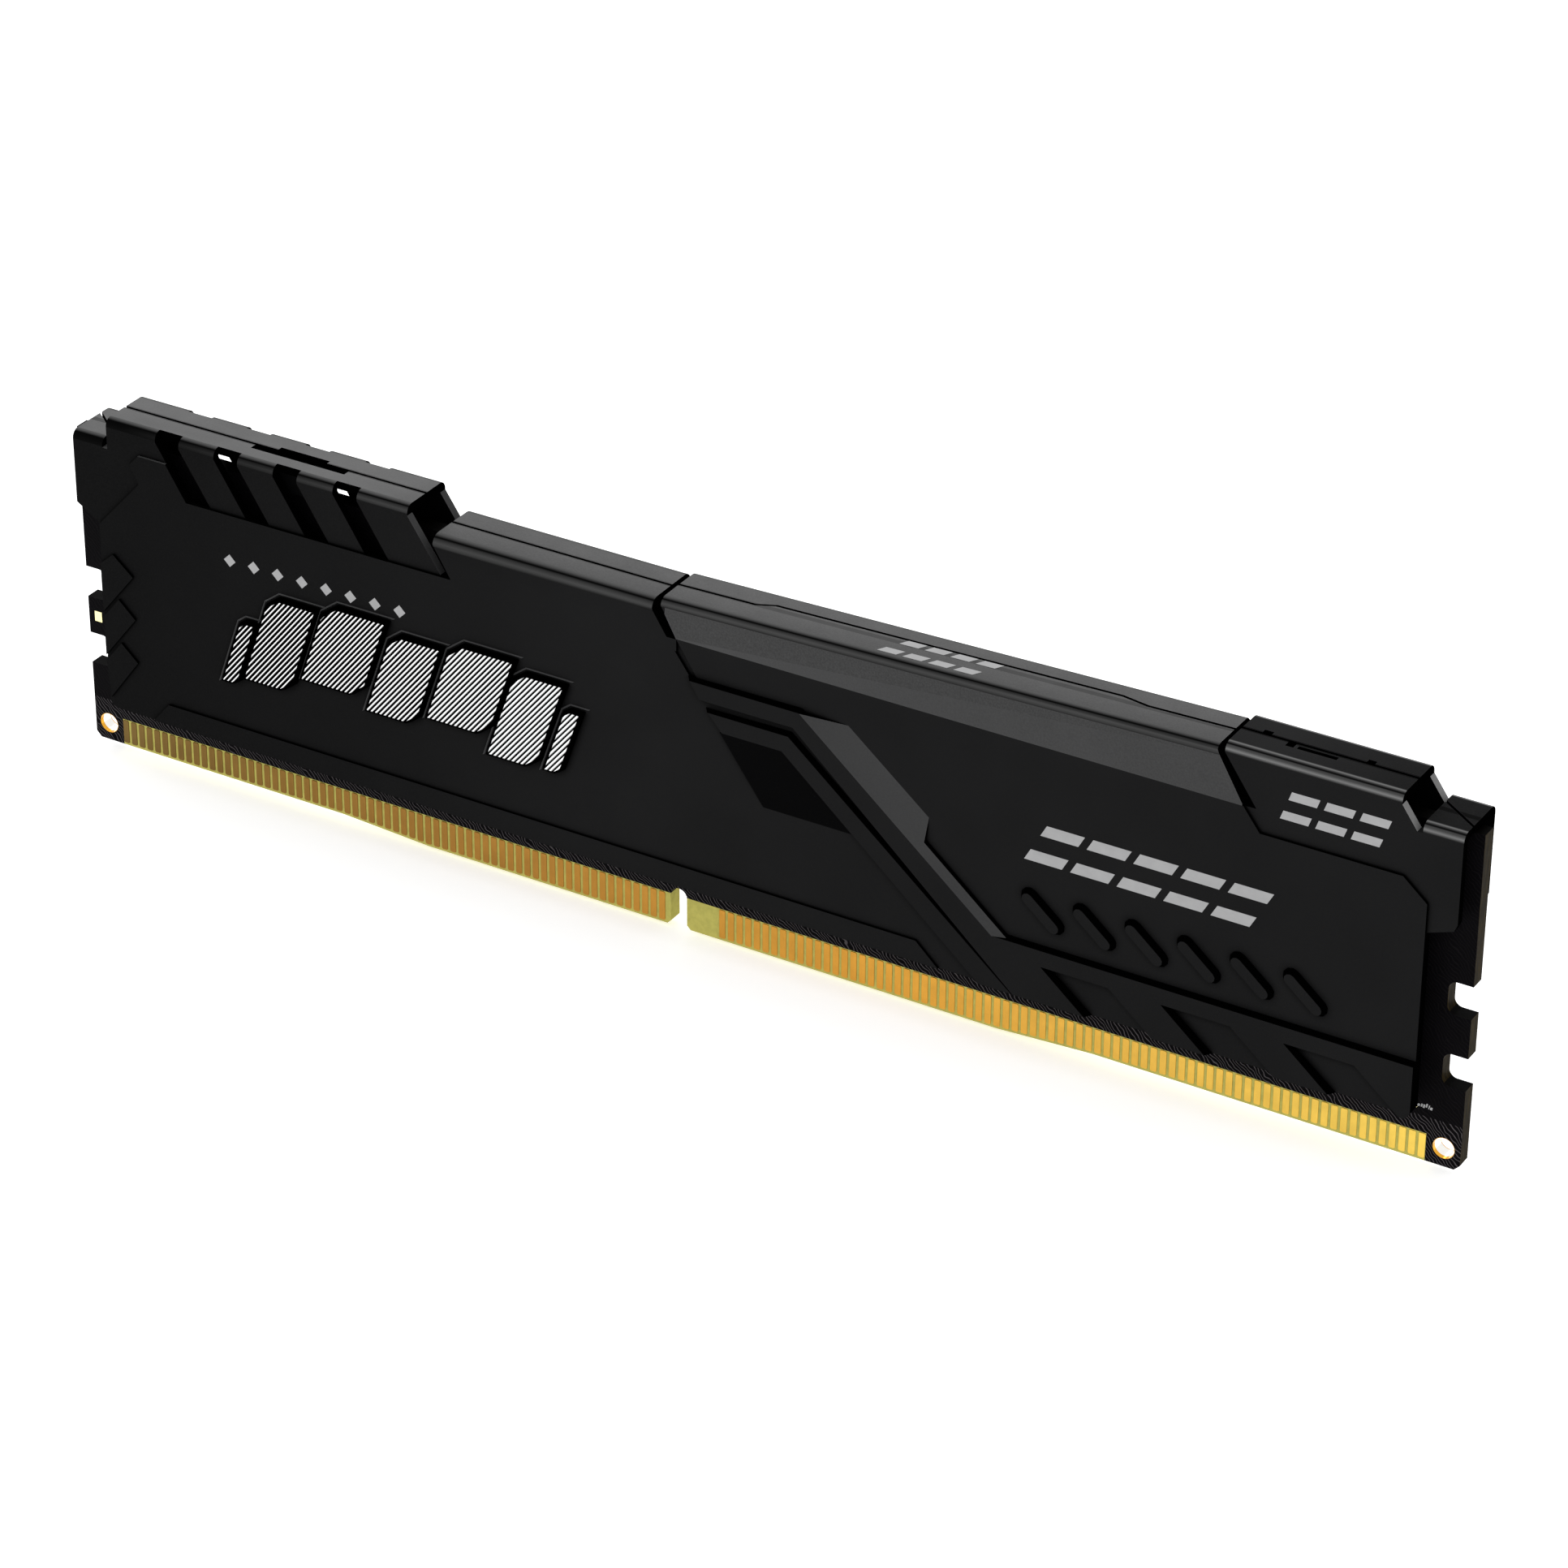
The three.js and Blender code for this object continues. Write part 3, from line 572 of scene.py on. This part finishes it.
def spreader_looks():
    """One tone of the coat for each kind of surface, in the order of the zone numbers: these
    tones paint the light and shade that fall on each kind.
    """
    coat = (0.0074, 0.0074, 0.0076)
    deep = (0.0003, 0.0003, 0.0003)
    # Each tone below paints its zone's light and shade, and the folds carry painted reflection
    # bands
    return [
        sheet_look("sheet_face", coat, 0.02, 0.55, line=(0.0006,) * 3, along=FACE_SHADE),
        sheet_look("sheet_black_shade", deep, 0.0, 0.7, wear_and_highlight=0.0),
        sheet_look("sheet_lit_bevel", (0.027, 0.027, 0.0275), 0.1, 0.5),
        sheet_look("sheet_shaded_facet", (0.0011, 0.0011, 0.0012), 0.01, 0.6, wear_and_highlight=0.001),
        sheet_look("sheet_fold", (0.05, 0.05, 0.0505), 0.14, 0.36, along=FOLD_SHADE, seam=True),
        sheet_look("sheet_lean_back", (0.042, 0.042, 0.0425), 0.08, 0.45, along=LEAN_SHADE),
        sheet_look("sheet_end", (0.13, 0.13, 0.13), 0.1, 0.42, wear_and_highlight=0.01),
        fold_look("sheet_fold_curve", FOLD_REFLECTIONS_LEFT, LOWER_FOLD_SHADE),
        sheet_look("sheet_fold_in_shade", (0.0105, 0.0105, 0.0108), 0.012, 0.5, wear_and_highlight=0.008,
                   along=SHADED_FOLD_SHADE, seam=True),
        fold_look("sheet_fold_curve_in_shade", FOLD_REFLECTIONS_RIGHT),
    ]


def is_within(value, limits):
    return limits[0] < value < limits[1]


def fold_zone(normal, centre):
    """Zone of a face on the outer skin of a fold or flange."""
    in_shade = centre.x > SHADED_FOLD_FROM_X
    if is_within(normal.z, CURVE_NORMAL_Z):
        return SHADED_FOLD_CURVE if in_shade else CURVE
    return SHADED_FOLD if in_shade else FOLD


def sheet_zone(face, side):
    """Zone of a face of the sheet, by where it lies and the way it turns."""
    normal = face.normal
    centre = face.calc_center_median() / MM
    outward = normal.y * side
    if normal.x > 0.5 and normal.z > 0.3:
        if is_within(centre.x, SLANTED_END_RIGHT_X) and centre.z > FOLD_FOOT_Z:
            return END
        at_left = is_within(centre.x, SLANTED_END_LEFT_X) and centre.z > LEAN_FOOT_Z
        return LIT if at_left else CUT
    if centre.z > FOLD_FOOT_Z and outward > -0.3:
        if abs(normal.x) > 0.5:
            return CUT
        if normal.z > 0.05:
            return fold_zone(normal, centre)
        if outward > 0.9 and centre.z > FOLD_FLANK_Z:
            return fold_zone(normal, centre) if abs(centre.y) > FOLD_SKIN_Y else CUT
    if centre.z > FOLD_FOOT_Z and outward < -0.9:
        return CUT
    if outward < -0.9:
        return SHADE
    if outward > 0.9999:
        return FACE
    if outward > 0.98:
        if normal.z < 0 or centre.x < LIT_BEVEL_FROM_X:
            return SHADE
        return LEAN if centre.z > LEAN_FOOT_Z else LIT
    return CUT


def make_spreader(label, side, looks):
    """The CAD sheet with its triangles joined, its edges rounded and each surface given
    its tone of painted light and shade.
    Returns the outlines of the leaning blocks and how far out their tops lie."""
    node = NODES[f"heat_spreader_{label}"]
    bm = bmesh.new()
    bm.from_mesh(node.data)
    bmesh.ops.remove_doubles(bm, verts=bm.verts, dist=1e-6)
    bmesh.ops.dissolve_limit(bm, angle_limit=math.radians(FLAT_ANGLE), verts=bm.verts,
                             edges=bm.edges)
    emblem_y = max(abs(v.co.y) for v in bm.verts)
    outlines = []
    for face in bm.faces:
        face.material_index = sheet_zone(face, side)
        if abs(abs(face.calc_center_median().y) - emblem_y) < SAME_PLACE:
            face.material_index = CUT
            outlines.append([(v.co.x / MM, v.co.z / MM) for v in face.verts])
    for vert in bm.verts:
        if abs(abs(vert.co.y) - emblem_y) < SAME_PLACE:
            vert.co.y -= side * EMBLEM_SINK * MM
    piece = new_piece(f"spreader_sheet_{label}", bm, looks, SMOOTH_ANGLE)
    rim = piece.modifiers.new("rim", "BEVEL")
    rim.width = RIM * MM
    rim.segments = 2
    rim.limit_method = "ANGLE"
    rim.angle_limit = math.radians(RIM_ANGLE)
    rim.harden_normals = True
    rim.use_clamp_overlap = True
    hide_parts(node.name)
    return outlines, emblem_y / MM


STRIPE_PITCH = 0.345
# Each line's grey part and white part, across the line
STRIPE_TONES = [(0.0, 0.04), (0.04, 0.155)]
# The lines widen from x and factor to x and factor
STRIPE_SPREAD = (-44.0, 0.8, -10.0, 1.35)
STRIPE_ANGLE = 50.0
STRIPE_MARGIN = 0.16
STRIPE_LEAST_AREA = 0.02
STRIPE_CHAMFER = 0.008
OVERLAP = 0.01


def hatch(area, across, start, end):
    """The strip of a convex outline between two parallel lines."""
    strip = clip(area, start, across, False)
    strip = clip(strip, end, across, True) if strip else strip
    return tidy_outline(strip)


def stripe_spread(outline):
    """How wide a block's lines are against nominal, growing along the row of blocks."""
    x0, low, x1, high = STRIPE_SPREAD
    middle = sum(p[0] for p in outline) / len(outline)
    return low + (high - low) * min(1.0, max(0.0, (middle - x0) / (x1 - x0)))


def make_stripes(label, side, outlines, emblem_y, looks):
    """Silver hatching printed on the leaning blocks: each line is part grey, part white."""
    angle = math.radians(STRIPE_ANGLE)
    across = (-math.sin(angle), math.cos(angle))
    bm = bmesh.new()
    for outline in outlines:
        area = shrink(outline, STRIPE_MARGIN)
        reach = [p[0] * across[0] + p[1] * across[1] for p in area]
        first = math.floor(min(reach) / STRIPE_PITCH)
        last = math.ceil(max(reach) / STRIPE_PITCH)
        widen = stripe_spread(outline)
        for step in range(first, last):
            for tone, (inner, outer) in enumerate(STRIPE_TONES):
                start = step * STRIPE_PITCH
                strip = hatch(area, across, start + inner * widen, start + outer * widen)
                if len(strip) < 3 or abs(signed_area(strip)) < STRIPE_LEAST_AREA:
                    continue
                made = len(bm.faces)
                add_prism(bm, strip, side * (emblem_y - EMBLEM_SINK - OVERLAP),
                          side * emblem_y, STRIPE_CHAMFER)
                bm.faces.ensure_lookup_table()
                for face in bm.faces[made:]:
                    face.material_index = tone
    return new_piece(f"emblem_stripes_{label}", bm, looks)


LIP_NEAR = 0.30
LIP_FAR = 0.46
LIP_HEIGHT = 0.05
LIP_CHAMFER = 0.04


def make_lips(label, side, outlines, look):
    """The soft shoulder pressed up along the upper edges of the leaning blocks, in the lit
    bevels' lighter tone: a painted highlight.
    """
    bm = bmesh.new()
    for outline in outlines:
        if signed_area(outline) < 0:
            outline = outline[::-1]
        near, far = shrink(outline, -LIP_NEAR), shrink(outline, -LIP_FAR)
        for i in range(len(outline)):
            j = (i + 1) % len(outline)
            if near[i][0] - near[j][0] > LIP_FAR:
                quad = [near[i], near[j], far[j], far[i]]
                add_prism(bm, quad, side * (MAIN_FACE_Y - OVERLAP),
                          side * (MAIN_FACE_Y + LIP_HEIGHT), LIP_CHAMFER)
    return new_piece(f"emblem_lips_{label}", bm, [look], 60)


# ---------------------------------------------------------------- printed marks

INK = 0.02
INK_CHAMFER = 0.006
# name, face it is printed on, then the row: x0, x1, z0, z1, count, gap, dash gap, lean
MARK_ROWS = [
    ("mark_small", MAIN_FACE_Y, (-49.74, -31.02, 23.07, 24.89, 8, 1.3)),
    ("mark_wide", MAIN_FACE_Y, (28.4, 50.45, 18.51, 22.09, 5, 0.75, 1.5, 0.55)),
    ("mark_panel", PANEL_FACE_Y, (50.47, 59.85, 28.90, 31.48, 3, 0.6, 1.05, 0.35)),
]
FLANGE_ROW = (14.0, 24.2, -1.96, 0.54, 4, 0.6, 1.0, 0.6)
SLOPE_TOP_MIDDLE_Z = 32.5
SLOPE_RISE = 0.0256


def leaning_bar(x, z, width, height, lean):
    """A parallelogram whose upper end leans towards +X."""
    return [(x, z), (x + width, z), (x + width + lean * height, z + height),
            (x + lean * height, z + height)]


def dash_pair(x, z, width, height, gap, lean):
    """Two leaning dashes, one over the other."""
    thick = (height - gap) / 2
    upper = thick + gap
    return [leaning_bar(x, z, width, thick, lean),
            leaning_bar(x + lean * upper, z + upper, width, thick, lean)]


def diamond(x, z, width, height):
    """The largest square diamond in the middle of a box."""
    middle_x, middle_z = x + width / 2, z + height / 2
    half = min(width, height) / 2
    return [[(middle_x - half, middle_z), (middle_x, middle_z - half),
             (middle_x + half, middle_z), (middle_x, middle_z + half)]]


def mark_row(x0, x1, z0, z1, count, gap, dash_gap=None, lean=0.0):
    """A row of abstract signs: pairs of dashes where dash_gap is given, else diamonds."""
    height = z1 - z0
    width = (x1 - x0 - lean * height - gap * (count - 1)) / count
    bars = []
    for i in range(count):
        x = x0 + i * (width + gap)
        if dash_gap is None:
            bars += diamond(x, z0, width, height)
        else:
            bars += dash_pair(x, z0, width, height, dash_gap, lean)
    return bars


def make_marks(label, side, look):
    """The printed rows on one half."""
    for name, face_y, row in MARK_ROWS:
        bm = bmesh.new()
        for bar in mark_row(*row):
            add_prism(bm, bar, side * (face_y - OVERLAP), side * (face_y + INK), INK_CHAMFER)
        new_piece(f"{name}_{label}", bm, [look])


def slope_top(x):
    """Height of the sloping flange at x."""
    return SLOPE_TOP_MIDDLE_Z + SLOPE_RISE * x


def make_flange_mark(look):
    """A row of dashes that lies on the sloping flange, with Y in place of Z."""
    bm = bmesh.new()
    for bar in mark_row(*FLANGE_ROW):
        rings = []
        for lift in (-OVERLAP, INK):
            rings.append([bm.verts.new((x * MM, y * MM, (slope_top(x) + lift) * MM))
                          for x, y in bar])
        for i in range(len(bar)):
            j = (i + 1) % len(bar)
            bm.faces.new((rings[0][i], rings[0][j], rings[1][j], rings[1][i]))
        bm.faces.new(rings[0][::-1])
        bm.faces.new(rings[1])
    new_piece("mark_flange", bm, [look])


# ---------------------------------------------------------------- edge contacts

CONTACT_PITCH = 0.85
CONTACT_WIDTH = 0.6
CONTACT_TOP = 3.0
CONTACT_FOOT = 0.22
CONTACT_CORNER = 0.1
CARD_FACE_Y = 0.7
CONTACT_FACE_Y = 0.77
CONTACT_CHAMFER = 0.025
# The card's lower edge: x and height, straight between
EDGE_LEVELS = [(-70, 0.5), (-40, 0.5), (-31, 0.0), (25, 0.0), (34, 0.5), (70, 0.5)]


def edge_height(x):
    """Height of the card's lower edge at x."""
    for (x0, z0), (x1, z1) in zip(EDGE_LEVELS, EDGE_LEVELS[1:]):
        if x <= x1:
            return z0 + (z1 - z0) * (x - x0) / (x1 - x0)
    return EDGE_LEVELS[-1][1]


def finger_outline(x):
    """A contact with cut corners; each foot follows the card's edge."""
    half, c = CONTACT_WIDTH / 2, CONTACT_CORNER
    foot, top = edge_height(x) + CONTACT_FOOT, CONTACT_TOP
    return [(x - half + c, foot), (x + half - c, foot), (x + half, foot + c),
            (x + half, top - c), (x + half - c, top), (x - half + c, top),
            (x - half, top - c), (x - half, foot + c)]


def make_contacts(label, side, bank, look):
    """Separate fingers in place of one bank's joined solid."""
    node = NODES[f"contacts_{label}_{bank}"]
    low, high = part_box(node.name)
    first = low[0] / MM + CONTACT_WIDTH / 2
    last = high[0] / MM - CONTACT_WIDTH / 2
    count = round((last - first) / CONTACT_PITCH) + 1
    bm = bmesh.new()
    for i in range(count):
        x = first + i * CONTACT_PITCH
        add_prism(bm, finger_outline(x), side * CARD_FACE_Y, side * CONTACT_FACE_Y,
                  CONTACT_CHAMFER)
    piece = new_piece(f"contact_fingers_{label}_{bank}", bm, [look])
    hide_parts(node.name)


# ---------------------------------------------------------------- card details

HOLE_AT = (65.2, 2.2)
HOLE_RADIUS = 0.95
PLATING = 0.03
PLATING_PROUD = 0.012
HOLE_SIDES = 32
ROOT = 0.005
PAD_AT = (-66.05, 12.3)
PAD_SIZE = (0.8, 1.0)
VIA_AT = (62.55, 5.3)
VIA_RADIUS = 0.16
SPECKS_X = (62.7, 64.0)
SPECKS_Z = 5.35
TERMINALS = 4
TERMINAL = (0.3, 0.26)
TERMINAL_INSET = 0.08
TERMINAL_START = 0.06
TERMINAL_BELOW = 0.28
TERMINAL_ABOVE = 0.02
TERMINAL_HEIGHT = 0.16


def box_outline(x, z, width, height):
    """A rectangle, by its lower left corner."""
    return [(x, z), (x + width, z), (x + width, z + height), (x, z + height)]


def disc(x, z, radius, sides=20):
    """A round outline."""
    return [(x + radius * math.cos(2 * math.pi * i / sides),
             z + radius * math.sin(2 * math.pi * i / sides)) for i in range(sides)]


def make_plated_hole(name, x, look):
    """Plating on the wall of a tooling hole."""
    bm = bmesh.new()
    depth = CARD_FACE_Y + PLATING_PROUD
    rings = []
    for radius, y in ((HOLE_RADIUS, -depth), (HOLE_RADIUS - PLATING, -depth),
                      (HOLE_RADIUS - PLATING, depth), (HOLE_RADIUS, depth)):
        circle = disc(x, HOLE_AT[1], radius, HOLE_SIDES)
        rings.append([bm.verts.new((px * MM, y * MM, pz * MM)) for px, pz in circle])
    for a, b in zip(rings, rings[1:] + rings[:1]):
        for i in range(HOLE_SIDES):
            j = (i + 1) % HOLE_SIDES
            bm.faces.new((a[i], a[j], b[j], b[i]))
    new_piece(name, bm, [look], 30)


def make_pad_and_via():
    """The bare pad at the left end of the card and the small via at its right end."""
    bm = bmesh.new()
    add_prism(bm, box_outline(*PAD_AT, *PAD_SIZE), -CARD_FACE_Y + ROOT, -CARD_FACE_Y - 0.03,
              0.02)
    add_prism(bm, disc(*VIA_AT, VIA_RADIUS), -CARD_FACE_Y + ROOT, -CARD_FACE_Y - 0.02, 0.015)
    bright = plain_look("pad_plating", (1.0, 0.9, 0.45), 0.2, 0.2, metallic=1.0, spread=0.03)
    new_piece("card_pad_and_via", bm, [bright])


def make_specks(ink):
    """A short irregular row of ink specks beside the via."""
    bm = bmesh.new()
    x, end = SPECKS_X
    while x < end:
        width = random.uniform(0.07, 0.2)
        height = random.uniform(0.15, 0.4)
        z = SPECKS_Z + random.uniform(-0.05, 0.1)
        add_prism(bm, leaning_bar(x, z, width, height, 0.2), -CARD_FACE_Y + ROOT,
                  -CARD_FACE_Y - 0.015, 0.005)
        x += width + random.uniform(0.05, 0.12)
    new_piece("card_ink_specks", bm, [ink])


def add_terminals(bm, label, side, number):
    """Soldered ends of one resistor array, above and below its body."""
    low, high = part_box(f"resistor_array_{label}_{number}")
    x0, x1 = low[0] / MM, high[0] / MM
    for j in range(TERMINALS):
        step = (x1 - x0 - 2 * TERMINAL_INSET) / TERMINALS
        left = x0 + TERMINAL_INSET + j * step + TERMINAL_START
        for z in (low[2] / MM - TERMINAL_BELOW, high[2] / MM + TERMINAL_ABOVE):
            add_prism(bm, box_outline(left, z, *TERMINAL), side * (CARD_FACE_Y - ROOT),
                      side * (CARD_FACE_Y + TERMINAL_HEIGHT), 0.08)


def make_card_details(ink, tin):
    """The small parts of the card that stay outside the CAD."""
    plating = hole_look()
    for side_name, x in (("left", -HOLE_AT[0]), ("right", HOLE_AT[0])):
        make_plated_hole(f"plated_hole_{side_name}", x, plating)
    make_pad_and_via()
    make_specks(ink)
    bm = bmesh.new()
    for label, side in SIDES.items():
        for number in range(1, 7):
            add_terminals(bm, label, side, number)
    new_piece("resistor_joints", bm, [tin])


# ---------------------------------------------------------------- assembly

SMALL_RIM = 0.04
FLOOR_HALF = 6.0
FLOOR_DROP = 0.0004
FLOOR_GLOW = 0.48


def finish_carried_nodes(looks):
    """Gives every CAD node that stays its own material, and soft rims to the small parts."""
    for name, node in NODES.items():
        kind = next((k for k in looks if name.startswith(k)), None)
        if kind is None:
            continue
        if not node.material_slots:
            node.data.materials.append(looks[kind])
        for slot in node.material_slots:
            slot.link = "OBJECT"
            slot.material = looks[kind]
        if not name.startswith("pcb"):
            rim = node.modifiers.new("rim", "BEVEL")
            rim.width = SMALL_RIM * MM
            rim.segments = 2
            rim.limit_method = "ANGLE"


def make_floor():
    """A wide pale sheet just under the card, with a faint glow of its own."""
    look = Look("floor_paper", specular=0.1)
    look.colour(look.ramp(look.noise(40.0, 2.0), tones((0.93, 0.93, 0.93), 0.01)))
    look.rough(look.noise(5.0, 2.0), 0.85, 0.95)
    look.shader.inputs["Emission Color"].default_value = (1.0, 1.0, 1.0, 1.0)
    look.shader.inputs["Emission Strength"].default_value = FLOOR_GLOW
    bm = bmesh.new()
    corners = [bm.verts.new((x * FLOOR_HALF, y * FLOOR_HALF, 0))
               for x, y in ((-1, -1), (1, -1), (1, 1), (-1, 1))]
    bm.faces.new(corners)
    mesh = bpy.data.meshes.new("floor")
    bm.to_mesh(mesh)
    bm.free()
    mesh.materials.append(look.material)
    floor = bpy.data.objects.new("floor", mesh)
    bpy.context.scene.collection.objects.link(floor)
    floor.location.z = -FLOOR_DROP


make_camera()
make_studio()
make_floor()

gold = gold_look()
ink = plain_look("mark_ink", (0.315, 0.315, 0.318), 0.6, 0.12, spread=0.05, depth_mm=0.004)
silver = [plain_look(name, (tone, tone, tone), 0.42, 0.1, spread=0.05, depth_mm=0.004)
          for name, tone in (("emblem_grey", 0.34), ("emblem_white", 0.95))]
tin = plain_look("bright_solder", (0.6, 0.6, 0.61), 0.25, 0.1, metallic=1.0)
chip = plain_look("chip_compound", (0.014, 0.014, 0.015), 0.62, 0.08, specular=0.3)

finish_carried_nodes({
    "pcb": board_look(),
    "dram": chip,
    "spd_eeprom": chip,
    "thermal_pad": plain_look("pad_silicone", (0.16, 0.17, 0.19), 0.85, 0.3,
                              specular=0.25, depth_mm=0.03),
    "resistor_array": plain_look("array_ceramic", (0.02, 0.018, 0.017), 0.3, 0.1),
    # Near-black spring bridge: painted shade inside the raised stretch
    "bridge": plain_look("bridge_spring_in_shade", (0.0012, 0.0012, 0.0013), 0.7, 0.1, specular=0.02),
})

sheet = spreader_looks()
for label, side in SIDES.items():
    outlines, emblem_y = make_spreader(label, side, sheet)
    make_stripes(label, side, outlines, emblem_y, silver)
    make_lips(label, side, outlines, sheet[LIT])
    make_marks(label, side, ink)
    for bank in ("left", "right"):
        make_contacts(label, side, bank, gold)
make_flange_mark(ink)
make_card_details(ink, tin)
